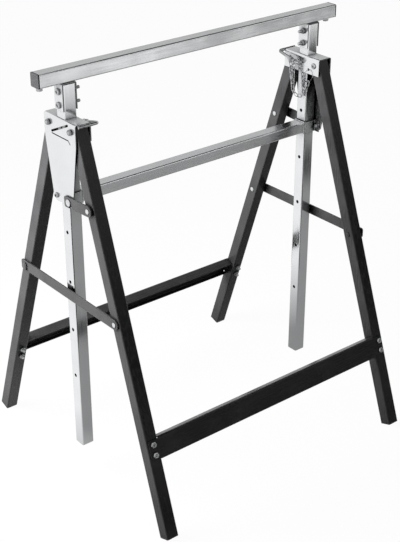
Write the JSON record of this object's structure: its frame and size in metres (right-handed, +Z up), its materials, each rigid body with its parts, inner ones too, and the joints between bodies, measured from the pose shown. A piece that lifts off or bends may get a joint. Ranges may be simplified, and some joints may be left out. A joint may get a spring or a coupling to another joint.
{
  "type": "folding trestle",
  "caption": "Folding trestle: square steel rail on sliding posts with pin holes, hinged leg frames with low bars, flat braces hooked over studs and chained lock pins.",
  "frame": {"origin": "on the floor under the middle of the trestle", "axes": "+X along the rail, -Y the front, +Z up"},
  "size_m": [0.68, 0.5842, 0.817],
  "materials": {
    "zinc_steel": "bright zinc plating",
    "black_paint": "satin gloss black",
    "black_plastic": "matt black",
    "bright_fastener": "zinc plated fasteners"
  },
  "bodies": {
    "carriage": {"head_left": "zinc_steel", "head_right": "zinc_steel", "yoke_left": "zinc_steel", "yoke_right": "zinc_steel", "mid_bar": "zinc_steel", "pivot_bolts": "bright_fastener", "pivot_nuts": "bright_fastener", "yoke_bolts": "bright_fastener", "hook_studs": "bright_fastener", "yoke_nuts": "bright_fastener", "chain_ring_left": "bright_fastener", "chain_ring_right": "bright_fastener", "chain_left": "bright_fastener", "chain_right": "bright_fastener"},
    "beam": {"rail": "zinc_steel", "rail_plug_left": "black_plastic", "rail_plug_right": "black_plastic", "rail_screws": "bright_fastener", "saddle_left": "zinc_steel", "saddle_right": "zinc_steel", "saddle_bolts": "bright_fastener", "saddle_nuts": "bright_fastener", "post_left": "zinc_steel", "post_right": "zinc_steel"},
    "front_frame": {"leg_front_left": "black_paint", "leg_front_right": "black_paint", "low_bar_front": "black_paint", "front_bar_bolts": "bright_fastener", "front_bar_nuts": "bright_fastener", "foot_plug_front_left": "black_plastic", "foot_plug_front_right": "black_plastic", "front_rivets": "bright_fastener", "front_brace_stud": "black_paint"},
    "back_frame": {"leg_back_left": "black_paint", "leg_back_right": "black_paint", "low_bar_back": "black_paint", "back_bar_bolts": "bright_fastener", "back_bar_nuts": "bright_fastener", "foot_plug_back_left": "black_plastic", "foot_plug_back_right": "black_plastic", "back_rivets": "bright_fastener", "back_brace_stud": "black_paint"},
    "brace_left": {"brace_left": "black_paint"},
    "brace_right": {"brace_right": "black_paint"},
    "link_left": {"link_left": "black_paint"},
    "link_right": {"link_right": "black_paint"},
    "pin_left": {"lock_pin_left": "bright_fastener", "pin_ring_left": "bright_fastener"},
    "pin_right": {"lock_pin_right": "bright_fastener", "pin_ring_right": "bright_fastener"}
  },
  "joints": [
    {"name": "lift", "type": "slide", "parent": "carriage", "child": "beam", "axis": [0, 0, 1], "range_m": [0, 0.5]},
    {"name": "fold_front", "type": "hinge", "parent": "carriage", "child": "front_frame", "pos_m": [0, -0.034, 0.7136], "axis": [1, 0, 0], "range_deg": [0, 15]},
    {"name": "fold_back", "type": "hinge", "parent": "carriage", "child": "back_frame", "pos_m": [0, 0.034, 0.7136], "axis": [-1, 0, 0], "range_deg": [0, 15]},
    {"name": "brace_left_swing", "type": "hinge", "parent": "front_frame", "child": "brace_left", "pos_m": [-0.298, -0.14581, 0.39145], "axis": [1, 0, 0], "range_deg": [0, 45]},
    {"name": "brace_right_swing", "type": "hinge", "parent": "back_frame", "child": "brace_right", "pos_m": [0.298, 0.14581, 0.39145], "axis": [-1, 0, 0], "range_deg": [0, 45]},
    {"name": "link_left_swing", "type": "hinge", "parent": "front_frame", "child": "link_left", "pos_m": [-0.298, -0.07892, 0.58417], "axis": [1, 0, 0], "range_deg": [0, 60]},
    {"name": "link_right_swing", "type": "hinge", "parent": "back_frame", "child": "link_right", "pos_m": [0.298, 0.07892, 0.58417], "axis": [-1, 0, 0], "range_deg": [0, 60]},
    {"name": "pin_left_pull", "type": "slide", "parent": "carriage", "child": "pin_left", "axis": [-1, 0, 0], "range_m": [-0.04, 0.005], "deforming": ["chain_left"]},
    {"name": "pin_right_pull", "type": "slide", "parent": "carriage", "child": "pin_right", "axis": [1, 0, 0], "range_m": [-0.04, 0.005], "deforming": ["chain_right"]}
  ],
  "couplings": [
    {"joint": "fold_back", "follows": "fold_front", "ratio": 1},
    {"joint": "brace_left_swing", "follows": "fold_front", "ratio": 3},
    {"joint": "brace_right_swing", "follows": "fold_front", "ratio": 3},
    {"joint": "link_left_swing", "follows": "fold_front", "ratio": 4},
    {"joint": "link_right_swing", "follows": "fold_front", "ratio": 4}
  ]
}
